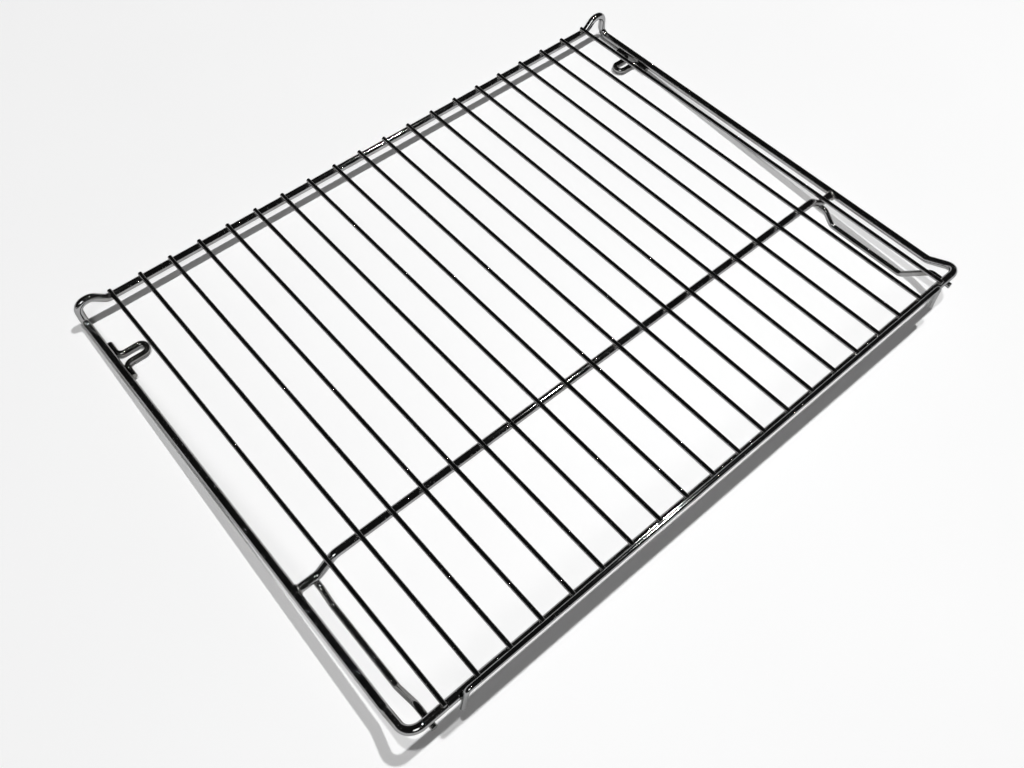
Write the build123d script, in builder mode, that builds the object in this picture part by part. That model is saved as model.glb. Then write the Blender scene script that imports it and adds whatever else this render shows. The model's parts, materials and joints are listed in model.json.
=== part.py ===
from build123d import *
from math import cos, radians, sin
import os

os.makedirs("parts", exist_ok=True)

# A welded wire oven rack in millimetres. X runs along the front and back rails, Y from the front rail
# to the back rail and Z up. The origin lies under the middle of the rack, level with the runners'
# lowest line.

# Wire diameters
frame_wire = 5.5
rod_wire = 3.0
foot_wire = 4.0
bar_wire = 3.4

# Welds: how deep a wire sinks into the one that it crosses
weld_sink = 0.4

# Plan, measured between wire axes
side_gap = 463.5
rail_gap = 345.0
cross_gap = 103.0
rod_count = 20
rod_margin = 22.75
rod_tail = 1.2

# Heights, measured between wire axes
runner_drop = 22.25
side_drop = 9.5
horn_rise = 8.0
bar_rise = 11.0

# Bends of the outer frame
frame_bend = 6.5
corner_bend = 9.0
horn_start = 3.5
horn_width = 10.5
step_run = 21.0

# Ends of the cross bar: they dip inside the outermost rod and butt against the side rails
dip_inset = 5.0
dip_run = 12.0

# Stops: their middle in front of the back rail, their length, reach, leg spacing and bend, and how far
# round from the side rail's underside they sit, in degrees
stop_place = 40.5
stop_span = 32.5
stop_reach = 21.25
stop_legs = 8.5
stop_bend = 4.5
stop_lean = 60.0

# Runners: place inside the side rail, back end and lap under the cross bar, ends of the low length,
# end of the front slope, overhang under the front rail and bend
runner_inset = 13.0
runner_start = 2.2
runner_lap = 5.3
runner_lead = 14.0
runner_front = 29.3
runner_rise = 11.0
runner_tail = 4.2
runner_bend = 5.0

# Front bar: how far it ends inside the outermost rod, how far its legs reach below the front rail's axis
# and spread outward, and their bend
bar_inset = 11.5
bar_foot = 10.7
bar_flare = 3.4
bar_bend = 3.5

# Seats of one round wire on another
rod_seat = (frame_wire + rod_wire) / 2 - weld_sink
foot_seat = (frame_wire + foot_wire) / 2 - weld_sink
bar_seat = (frame_wire + bar_wire) / 2 - weld_sink

# Places of the main wires
side_x = side_gap / 2
last_rod_x = side_x - rod_margin
rod_pitch = 2 * last_rod_x / (rod_count - 1)
front_overhang = max(bar_seat + bar_wire / 2, runner_tail)
back_overhang = max(rod_tail, frame_wire / 2)
front_y = (front_overhang - back_overhang - rail_gap) / 2
back_y = front_y + rail_gap
cross_y = front_y + cross_gap
runner_z = foot_wire / 2
rail_z = runner_z + runner_drop
side_z = rail_z - side_drop
horn_z = rail_z + horn_rise
rod_z = rail_z + rod_seat

# Front bar: stands above and just before the front rail on its two turned-down ends, which pass the rail
bar_x = last_rod_x - bar_inset
bar_y = front_y - bar_seat
with BuildPart() as front_bar:
    with BuildLine() as bar_path:
        FilletPolyline(
            (0, bar_y, rail_z + bar_rise),
            (bar_x, bar_y, rail_z + bar_rise),
            (bar_x + bar_flare, bar_y, rail_z - bar_foot),
            radius=bar_bend,
        )
    with BuildSketch(Plane(bar_path.line @ 0, z_dir=bar_path.line % 0)):
        Circle(bar_wire / 2)
    sweep()
    mirror(about=Plane.YZ)
front_bar.part.label = "front_bar"
export_step(front_bar.part, "parts/front_bar.step")

# Rods: straight wires that end a little past the axes of the front and back rails
rod_front_y = front_y - rod_tail
rod_length = rail_gap + 2 * rod_tail
rods = []
for number in range(rod_count):
    rod_x = number * rod_pitch - last_rod_x
    with BuildPart() as rod:
        with BuildSketch(Plane((rod_x, rod_front_y, rod_z), x_dir=(1, 0, 0), z_dir=(0, 1, 0))):
            Circle(rod_wire / 2)
        extrude(amount=rod_length)
    rod.part.label = f"rod_{number + 1:02d}"
    export_step(rod.part, f"parts/rod_{number + 1:02d}.step")
    rods.append(rod.part)

# Stops: an omega of wire at each side rail near the back, its feet along the rail and its loop inward
stop_x = side_x - foot_seat * sin(radians(stop_lean))
stop_z = side_z - foot_seat * cos(radians(stop_lean))
stop_tip_x = side_x - stop_reach
stop_y = back_y - stop_place
stops = []
for hand, side in (("left", -1), ("right", 1)):
    with BuildPart() as stop:
        with BuildLine() as stop_path:
            back_leg = FilletPolyline(
                (side * stop_x, stop_y + stop_span / 2, stop_z),
                (side * stop_x, stop_y + stop_legs / 2, stop_z),
                (side * (stop_tip_x + stop_legs / 2), stop_y + stop_legs / 2, stop_z),
                radius=stop_bend,
            )
            ThreePointArc(
                back_leg @ 1,
                (side * stop_tip_x, stop_y, stop_z),
                (side * (stop_tip_x + stop_legs / 2), stop_y - stop_legs / 2, stop_z),
            )
            FilletPolyline(
                (side * (stop_tip_x + stop_legs / 2), stop_y - stop_legs / 2, stop_z),
                (side * stop_x, stop_y - stop_legs / 2, stop_z),
                (side * stop_x, stop_y - stop_span / 2, stop_z),
                radius=stop_bend,
            )
        with BuildSketch(Plane(back_leg @ 0, z_dir=back_leg % 0)):
            Circle(foot_wire / 2)
        sweep()
    stop.part.label = f"{hand}_stop"
    export_step(stop.part, f"parts/{hand}_stop.step")
    stops.append(stop.part)

# Runners: from under the cross bar's end down to the lowest line, forward along it, and up under the
# front rail
runner_x = side_x - runner_inset
back_lap_z = side_z - foot_seat
front_lap_z = rail_z - foot_seat
runners = []
for hand, side in (("left", -1), ("right", 1)):
    with BuildPart() as runner:
        with BuildLine() as runner_path:
            FilletPolyline(
                (side * runner_x, cross_y + runner_start, back_lap_z),
                (side * runner_x, cross_y - runner_lap, back_lap_z),
                (side * runner_x, cross_y - runner_lead, runner_z),
                (side * runner_x, front_y + runner_front, runner_z),
                (side * runner_x, front_y + runner_rise, front_lap_z),
                (side * runner_x, front_y - runner_tail, front_lap_z),
                radius=runner_bend,
            )
        with BuildSketch(Plane(runner_path.line @ 0, z_dir=runner_path.line % 0)):
            Circle(foot_wire / 2)
        sweep()
    runner.part.label = f"{hand}_runner"
    export_step(runner.part, f"parts/{hand}_runner.step")
    runners.append(runner.part)

# Cross bar: carries the rods between the rails. Its ends dip to the side rails' height and butt against
# them
dip_x = last_rod_x - dip_inset
with BuildPart() as cross_bar:
    with BuildLine() as cross_path:
        FilletPolyline(
            (0, cross_y, rail_z),
            (dip_x, cross_y, rail_z),
            (dip_x + dip_run, cross_y, side_z),
            (side_x - frame_wire / 2 + weld_sink, cross_y, side_z),
            radius=frame_bend,
        )
    with BuildSketch(Plane(cross_path.line @ 0, z_dir=cross_path.line % 0)):
        Circle(frame_wire / 2)
    sweep()
    mirror(about=Plane.YZ)
    add(rods, mode=Mode.SUBTRACT)
    add(runners, mode=Mode.SUBTRACT)
cross_bar.part.label = "cross_bar"
export_step(cross_bar.part, "parts/cross_bar.step")

# Outer frame: one wire from the middle of the back rail over the horn, down to the low side rail, up the
# step into the front corner and along the front rail, then the same on the other side
with BuildPart() as outer_frame:
    with BuildLine() as frame_path:
        FilletPolyline(
            (0, back_y, rail_z),
            (last_rod_x + horn_start, back_y, rail_z),
            (side_x - horn_width, back_y, horn_z),
            (side_x, back_y, horn_z),
            (side_x, back_y, side_z),
            (side_x, front_y + step_run, side_z),
            (side_x, front_y, rail_z),
            (0, front_y, rail_z),
            radius=[frame_bend] * 5 + [corner_bend],
        )
    with BuildSketch(Plane(frame_path.line @ 0, z_dir=frame_path.line % 0)):
        Circle(frame_wire / 2)
    sweep()
    mirror(about=Plane.YZ)
    add(rods, mode=Mode.SUBTRACT)
    add(stops, mode=Mode.SUBTRACT)
    add(runners, mode=Mode.SUBTRACT)
    add(front_bar.part, mode=Mode.SUBTRACT)
    add(cross_bar.part, mode=Mode.SUBTRACT)
outer_frame.part.label = "outer_frame"
export_step(outer_frame.part, "parts/outer_frame.step")
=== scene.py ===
import json
import math

import bmesh
import bpy
from mathutils import Matrix, Vector


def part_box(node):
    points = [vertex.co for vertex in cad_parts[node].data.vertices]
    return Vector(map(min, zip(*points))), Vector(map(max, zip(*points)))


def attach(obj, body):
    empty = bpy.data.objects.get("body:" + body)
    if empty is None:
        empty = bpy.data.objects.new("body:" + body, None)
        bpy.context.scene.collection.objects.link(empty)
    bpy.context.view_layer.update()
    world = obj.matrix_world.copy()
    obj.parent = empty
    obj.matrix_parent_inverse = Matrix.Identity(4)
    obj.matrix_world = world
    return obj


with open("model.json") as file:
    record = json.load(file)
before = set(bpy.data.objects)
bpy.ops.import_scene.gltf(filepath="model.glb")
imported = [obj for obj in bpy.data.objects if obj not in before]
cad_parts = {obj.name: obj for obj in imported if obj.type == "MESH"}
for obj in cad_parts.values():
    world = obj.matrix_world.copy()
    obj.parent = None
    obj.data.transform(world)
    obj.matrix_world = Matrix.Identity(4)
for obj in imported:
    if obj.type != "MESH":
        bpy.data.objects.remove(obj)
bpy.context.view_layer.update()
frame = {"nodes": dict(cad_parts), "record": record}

MM = 0.001
nodes = frame["nodes"]

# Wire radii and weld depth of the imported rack
FRAME_RADIUS = 2.75 * MM
ROD_RADIUS = 1.5 * MM
WELD_SINK = 0.4 * MM

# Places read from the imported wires
ROD_NAMES = sorted(name for name in nodes if name.startswith("rod_"))
frame_low, frame_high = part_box("outer_frame")
cross_low, cross_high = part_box("cross_bar")
rod_low, rod_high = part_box(ROD_NAMES[0])
stop_low, stop_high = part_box("left_stop")
runner_low, runner_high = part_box("right_runner")
FRONT_RAIL_Y = frame_low[1] + FRAME_RADIUS
BACK_RAIL_Y = frame_high[1] - FRAME_RADIUS
CROSS_BAR_Y = (cross_low[1] + cross_high[1]) / 2
RAIL_Z = cross_high[2] - FRAME_RADIUS
SIDE_RAIL_X = frame_high[0] - FRAME_RADIUS
SIDE_RAIL_Z = cross_low[2] + FRAME_RADIUS
ROD_Z = (rod_low[2] + rod_high[2]) / 2
RUNNER_X = (runner_low[0] + runner_high[0]) / 2

# Places along the bent wires: the runners' heels, the front bar's legs where they pass the front rail, and
# the stops' feet, with their lean round the side rail
RUNNER_HEEL_Y = -84 * MM
LEG_X = 199.2 * MM
STOP_FOOT = 7.0 * MM
STOP_LEAN = math.radians(60)

# Weld beads, as half length, half width and height in millimetres
ROD_BEAD = (2.15, 1.55, 0.7)
RUNNER_BEAD = (2.7, 2.3, 1.0)
STOP_BEAD = (0.95, 3.2, 0.95)
LEG_BEAD = (2.3, 1.5, 0.8)

# Other small forms
END_BULGE = 0.35 * MM
COLLAR_RADIUS = 2.8 * MM
COLLAR_THICK = 0.75 * MM


def clear_selection():
    if bpy.context.object and bpy.context.object.mode != "OBJECT":
        bpy.ops.object.mode_set(mode="OBJECT")
    bpy.ops.object.select_all(action="DESELECT")


def pick_points(piece, wanted):
    """In edit mode, select only the points whose place passes the test."""
    bpy.ops.mesh.select_all(action="DESELECT")
    shape = bmesh.from_edit_mesh(piece.data)
    for point in shape.verts:
        point.select = wanted(point.co)
    shape.select_flush_mode()
    bmesh.update_edit_mesh(piece.data)


def weld_bead(length, width, height):
    """A squeezed weld nugget: a low mound whose rim drapes over the round wire under it."""
    clear_selection()
    bpy.ops.mesh.primitive_uv_sphere_add(segments=12, ring_count=6, radius=1.0 * MM)
    bead = bpy.context.object
    bpy.ops.object.mode_set(mode="EDIT")
    bpy.ops.mesh.select_all(action="SELECT")
    bpy.ops.transform.resize(value=(length, width, height))
    for side in (-1, 1):
        pick_points(bead, lambda place: side * place.y > 0.55 * width * MM)
        bpy.ops.transform.translate(value=(0.0, 0.0, -0.3 * height * MM))
    for side in (-1, 1):
        pick_points(bead, lambda place: side * place.x > 0.7 * length * MM)
        bpy.ops.transform.resize(value=(1.0, 0.8, 0.7))
    bpy.ops.object.mode_set(mode="OBJECT")
    bpy.ops.object.shade_smooth()
    return bead


def cut_end(radius, bulge):
    """The cropped end of a rod: a shallow dome, drawn out at the bottom by the cutter."""
    middle = (0.0, 0.0, 0.0)
    clear_selection()
    bpy.ops.mesh.primitive_uv_sphere_add(segments=12, ring_count=6, radius=radius)
    end = bpy.context.object
    bpy.ops.object.mode_set(mode="EDIT")
    bpy.ops.mesh.select_all(action="SELECT")
    bpy.ops.mesh.bisect(plane_co=middle, plane_no=(0.0, 1.0, 0.0), use_fill=True, clear_outer=True)
    bpy.ops.mesh.select_all(action="SELECT")
    bpy.ops.transform.resize(value=(1.0, bulge / radius, 1.0), center_override=middle)
    pick_points(end, lambda place: place.z < -0.3 * radius and place.y < -0.2 * bulge)
    bpy.ops.transform.translate(value=(0.0, -0.3 * bulge, 0.0))
    bpy.ops.mesh.select_all(action="SELECT")
    bpy.ops.mesh.normals_make_consistent(inside=False)
    bpy.ops.object.mode_set(mode="OBJECT")
    bpy.ops.object.shade_smooth()
    return end


def butt_collar(inner, thick):
    """The ring of weld where a wire's end butts against another wire, heavier below."""
    clear_selection()
    bpy.ops.mesh.primitive_torus_add(
        major_radius=inner,
        minor_radius=thick,
        major_segments=20,
        minor_segments=6,
        rotation=(0.0, math.pi / 2, 0.0),
    )
    collar = bpy.context.object
    bpy.ops.object.transform_apply(location=False, rotation=True, scale=False)
    bpy.ops.object.mode_set(mode="EDIT")
    pick_points(collar, lambda place: place.z < -0.4 * inner)
    bpy.ops.transform.translate(value=(0.0, 0.0, -0.25 * thick))
    pick_points(collar, lambda place: place.x > 0.0)
    bpy.ops.transform.resize(value=(1.0, 1.12, 1.12), center_override=(0.0, 0.0, 0.0))
    bpy.ops.object.mode_set(mode="OBJECT")
    bpy.ops.object.shade_smooth()
    return collar


def lay_copies(name, model, places, finish):
    """Copies of one model, each at its place, joined as one piece that rides on the rack."""
    clear_selection()
    for place in places:
        copy = model.copy()
        copy.data = model.data.copy()
        copy.data.transform(place)
        bpy.context.collection.objects.link(copy)
        copy.select_set(True)
        bpy.context.view_layer.objects.active = copy
    bpy.ops.object.join()
    piece = bpy.context.object
    piece.name = name
    piece.data.materials.clear()
    piece.data.materials.append(finish)
    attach(piece, "root")


def new_finish(name):
    """A node material with its shader and the place on the piece, ready for the links of one finish."""
    material = bpy.data.materials.new(name)
    material.use_nodes = True
    tree = material.node_tree
    shader = tree.nodes["Principled BSDF"]
    place = tree.nodes.new("ShaderNodeTexCoord")
    return material, tree, shader, place


def grain(tree, place, scale, detail, rough=0.5):
    noise = tree.nodes.new("ShaderNodeTexNoise")
    noise.inputs["Scale"].default_value = scale
    noise.inputs["Detail"].default_value = detail
    noise.inputs["Roughness"].default_value = rough
    tree.links.new(place.outputs["Object"], noise.inputs["Vector"])
    return noise


def ramp(tree, source, stops):
    node = tree.nodes.new("ShaderNodeValToRGB")
    for index, (position, colour) in enumerate(stops):
        if index < 2:
            element = node.color_ramp.elements[index]
            element.position = position
        else:
            element = node.color_ramp.elements.new(position)
        element.color = (*colour, 1.0)
    tree.links.new(source, node.inputs["Fac"])
    return node


def spread(tree, source, low, high):
    node = tree.nodes.new("ShaderNodeMapRange")
    node.inputs["To Min"].default_value = low
    node.inputs["To Max"].default_value = high
    tree.links.new(source, node.inputs["Value"])
    return node


def bump(tree, height, strength, depth, under=None):
    node = tree.nodes.new("ShaderNodeBump")
    node.inputs["Strength"].default_value = strength
    node.inputs["Distance"].default_value = depth
    tree.links.new(height, node.inputs["Height"])
    if under:
        tree.links.new(under.outputs["Normal"], node.inputs["Normal"])
    return node


def scattered_pits(tree, place, scale, share):
    """Height of a surface with a small round pit in a share of its cells."""
    cells = tree.nodes.new("ShaderNodeTexVoronoi")
    cells.inputs["Scale"].default_value = scale
    tree.links.new(place.outputs["Object"], cells.inputs["Vector"])
    pit = ramp(tree, cells.outputs["Distance"], [(0.0, (0.0,) * 3), (0.24, (1.0,) * 3)])
    chance = tree.nodes.new("ShaderNodeSeparateColor")
    tree.links.new(cells.outputs["Color"], chance.inputs["Color"])
    sound = tree.nodes.new("ShaderNodeMath")
    sound.operation = "GREATER_THAN"
    sound.inputs[1].default_value = share
    tree.links.new(chance.outputs["Red"], sound.inputs[0])
    surface = tree.nodes.new("ShaderNodeMath")
    surface.operation = "MAXIMUM"
    tree.links.new(pit.outputs["Color"], surface.inputs[0])
    tree.links.new(sound.outputs["Value"], surface.inputs[1])
    return surface


def plated_wire(name, tone, stain, pit_share):
    """Bright plating over drawn wire: cloudy tone, worn haze, drawn waves and scattered pits."""
    material, tree, shader, place = new_finish(name)
    shader.inputs["Metallic"].default_value = 1.0
    shader.inputs["Specular Tint"].default_value = (0.4, 0.4, 0.4, 1.0)
    clouds = grain(tree, place, 55.0, 5.0, 0.6)
    colour = ramp(tree, clouds.outputs["Fac"], [(0.32, stain), (0.62, tone)])
    tree.links.new(colour.outputs["Color"], shader.inputs["Base Color"])
    wear = grain(tree, place, 420.0, 4.0, 0.65)
    roughness = spread(tree, wear.outputs["Fac"], 0.02, 0.07)
    tree.links.new(roughness.outputs["Result"], shader.inputs["Roughness"])
    waves = grain(tree, place, 150.0, 2.0)
    wavy = bump(tree, waves.outputs["Fac"], 0.006, 0.6 * MM)
    pits = scattered_pits(tree, place, 900.0, pit_share)
    pitted = bump(tree, pits.outputs["Value"], 0.8, 0.16 * MM, wavy)
    tree.links.new(pitted.outputs["Normal"], shader.inputs["Normal"])
    return material


def weld_metal(name, tone, burnt):
    """Plated weld metal: duller than the wire, lumpy, with a brownish heat stain."""
    material, tree, shader, place = new_finish(name)
    shader.inputs["Metallic"].default_value = 1.0
    heat = grain(tree, place, 240.0, 4.0, 0.6)
    colour = ramp(tree, heat.outputs["Fac"], [(0.35, burnt), (0.65, tone)])
    tree.links.new(colour.outputs["Color"], shader.inputs["Base Color"])
    roughness = spread(tree, heat.outputs["Fac"], 0.34, 0.16)
    tree.links.new(roughness.outputs["Result"], shader.inputs["Roughness"])
    lumps = bump(tree, grain(tree, place, 900.0, 3.0).outputs["Fac"], 0.5, 0.4 * MM)
    tree.links.new(lumps.outputs["Normal"], shader.inputs["Normal"])
    return material


def softbox(name, place, size, watts):
    """A round soft lamp, turned to the middle of the rack."""
    lamp = bpy.data.lights.new(name, "AREA")
    lamp.shape = "DISK"
    lamp.size = size
    lamp.energy = watts
    holder = bpy.data.objects.new(name, lamp)
    bpy.context.collection.objects.link(holder)
    holder.location = place
    holder.rotation_euler = (-Vector(place)).to_track_quat("-Z", "Y").to_euler()


# Finishes: bright tone, stained tone and share of pitted cells
PLATING = {
    "frame_wire": plated_wire("plated_frame_wire", (0.40, 0.40, 0.405), (0.28, 0.275, 0.265), 0.45),
    # Painted shade: the rod and runner plating is darker than the frame and bar plating, standing in for the
    # dark room these wires mirror
    "rod_wire": plated_wire("plated_rod_wire_painted_shade", (0.31, 0.31, 0.315), (0.21, 0.207, 0.20), 0.3),
    "foot_wire": plated_wire("plated_foot_wire_painted_shade", (0.31, 0.31, 0.31), (0.21, 0.205, 0.195), 0.45),
    "bar_wire": plated_wire("plated_bar_wire", (0.40, 0.405, 0.41), (0.28, 0.275, 0.27), 0.3),
}
weld_plating = weld_metal("plated_weld", (0.40, 0.395, 0.385), (0.22, 0.205, 0.185))
for row in frame["record"]["subparts"]:
    for spot in nodes[row["node"]].material_slots:
        spot.material = PLATING[row["material_slot"]]

# Weld nuggets under the rods, where each lies in its saddle on a rail
rod_places = []
for rod_name in ROD_NAMES:
    low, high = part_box(rod_name)
    rod_places.append((low[0] + high[0]) / 2)
SEAT_Z = RAIL_Z + FRAME_RADIUS - 0.05 * MM
rod_bead = weld_bead(*ROD_BEAD)
for weld_name, rail_y, carried in (
    ("front_rail_welds", FRONT_RAIL_Y, rod_places),
    ("back_rail_welds", BACK_RAIL_Y, rod_places),
    ("cross_bar_welds", CROSS_BAR_Y, rod_places[1:-1]),
):
    seats = [Matrix.Translation((rod_x, rail_y, SEAT_Z)) for rod_x in carried]
    lay_copies(weld_name, rod_bead, seats, weld_plating)

# Cropped ends of the rods
half_turn = Matrix.Rotation(math.pi, 4, "Z")
rod_ends = [Matrix.Translation((rod_x, rod_low[1], ROD_Z)) for rod_x in rod_places]
rod_ends += [Matrix.Translation((rod_x, rod_high[1], ROD_Z)) @ half_turn for rod_x in rod_places]
rod_end = cut_end(ROD_RADIUS, END_BULGE)
lay_copies("rod_ends", rod_end, rod_ends, PLATING["rod_wire"])

# Welds of the runners under the cross bar's ends and under the front rail
upside_down = Matrix.Rotation(math.pi, 4, "X")
runner_seats = []
for side in (-1, 1):
    for rail_y, rail_z in ((CROSS_BAR_Y, SIDE_RAIL_Z), (FRONT_RAIL_Y, RAIL_Z)):
        under_z = rail_z - FRAME_RADIUS + WELD_SINK / 2
        runner_seats.append(Matrix.Translation((side * RUNNER_X, rail_y, under_z)) @ upside_down)
runner_bead = weld_bead(*RUNNER_BEAD)
lay_copies("runner_welds", runner_bead, runner_seats, weld_plating)

# Weld beads along the feet of the stops
seat_reach = FRAME_RADIUS - WELD_SINK / 2
foot_seats = []
for side in (-1, 1):
    seat_x = side * (SIDE_RAIL_X - seat_reach * math.sin(STOP_LEAN))
    seat_z = SIDE_RAIL_Z - seat_reach * math.cos(STOP_LEAN)
    for foot_y in (stop_low[1] + STOP_FOOT / 2, stop_high[1] - STOP_FOOT / 2):
        foot_seats.append(Matrix.Translation((seat_x, foot_y, seat_z)))
foot_bead = weld_bead(*STOP_BEAD)
lay_copies("stop_welds", foot_bead, foot_seats, weld_plating)

# Welds of the front bar's turned-down ends against the front rail
upright = Matrix.Rotation(math.pi / 2, 4, "X")
leg_y = FRONT_RAIL_Y - FRAME_RADIUS + WELD_SINK / 2
leg_seats = [Matrix.Translation((side * LEG_X, leg_y, RAIL_Z)) @ upright for side in (-1, 1)]
leg_bead = weld_bead(*LEG_BEAD)
lay_copies("bar_welds", leg_bead, leg_seats, weld_plating)

# Weld rings where the cross bar butts against the side rails
ring_x = SIDE_RAIL_X - FRAME_RADIUS
rings = [
    Matrix.Translation((ring_x, CROSS_BAR_Y, SIDE_RAIL_Z)),
    Matrix.Translation((-ring_x, CROSS_BAR_Y, SIDE_RAIL_Z)) @ half_turn,
]
ring = butt_collar(COLLAR_RADIUS, COLLAR_THICK)
lay_copies("cross_bar_collars", ring, rings, weld_plating)

# The models that were copied are no part of the rack
for model in (rod_bead, rod_end, runner_bead, foot_bead, leg_bead, ring):
    bpy.data.objects.remove(model)

# Table: it touches the heels of the runners and the back ends of the stops, as the rack lies on it
TABLE_SIZE = 12.0
lean = math.atan2(stop_low[2], stop_high[1] - RUNNER_HEEL_Y)
clear_selection()
bpy.ops.mesh.primitive_plane_add(size=TABLE_SIZE, location=(0.0, 0.0, 0.0))
table = bpy.context.object
table.name = "table"
tilt = Matrix.Rotation(lean, 4, "X")
table.data.transform(Matrix.Translation((0.0, RUNNER_HEEL_Y, 0.0)) @ tilt)
paint, paint_tree, paint_shader, paint_place = new_finish("white_table")
paint_shader.inputs["Roughness"].default_value = 0.6
paint_tone = ramp(
    paint_tree,
    grain(paint_tree, paint_place, 3.0, 3.0).outputs["Fac"],
    [(0.3, (0.94,) * 3), (0.7, (0.96,) * 3)],
)
paint_tree.links.new(paint_tone.outputs["Color"], paint_shader.inputs["Base Color"])
table.data.materials.append(paint)

# Only the outer wires shade the table
INNER_WIRES = ROD_NAMES + ["cross_bar", "left_runner", "right_runner"]
INNER_WELDS = ["cross_bar_welds", "cross_bar_collars", "runner_welds"]
for name in INNER_WIRES:
    nodes[name].visible_shadow = False
for name in INNER_WELDS:
    bpy.data.objects[name].visible_shadow = False

# Room: pale low walls and a dark ceiling, which the wires mirror
world = bpy.data.worlds.new("room")
world.use_nodes = True
bpy.context.scene.world = world
room = world.node_tree
air = room.nodes["Background"]
air.inputs["Strength"].default_value = 1.0
ray = room.nodes.new("ShaderNodeTexCoord")
split = room.nodes.new("ShaderNodeSeparateXYZ")
room.links.new(ray.outputs["Generated"], split.inputs["Vector"])
walls = ramp(
    room,
    split.outputs["Z"],
    [(0.0, (0.8,) * 3), (0.05, (0.7,) * 3), (0.16, (0.02,) * 3), (1.0, (0.008,) * 3)],
)
room.links.new(walls.outputs["Color"], air.inputs["Color"])

# Lamps: place, size and power
softbox("overhead_lamp", (-0.07, -0.11, 4.5), 0.24, 64.0)
softbox("right_lamp", (1.89, -0.11, 4.5), 0.22, 134.0)
softbox("front_fill", (-2.4, -2.4, 3.9), 2.4, 43.0)

# Camera at the photograph's place, with its own right, down and forward directions
EYE = (-0.27083, -0.28687, 0.51136)
RIGHT = Vector((0.756143, -0.654332, 0.009873))
DOWN = Vector((-0.541964, -0.634603, -0.550958))
FORWARD = Vector((0.366775, 0.411252, -0.834475))
lens_data = bpy.data.cameras.new("camera")
lens_data.sensor_fit = "HORIZONTAL"
lens_data.sensor_width = 36.0
lens_data.lens = 33.486
camera = bpy.data.objects.new("camera", lens_data)
bpy.context.collection.objects.link(camera)
turn = Matrix((RIGHT, -DOWN, -FORWARD)).transposed().to_4x4()
camera.matrix_world = Matrix.Translation(EYE) @ turn
bpy.context.scene.camera = camera

bpy.context.scene.view_settings.view_transform = "Standard"
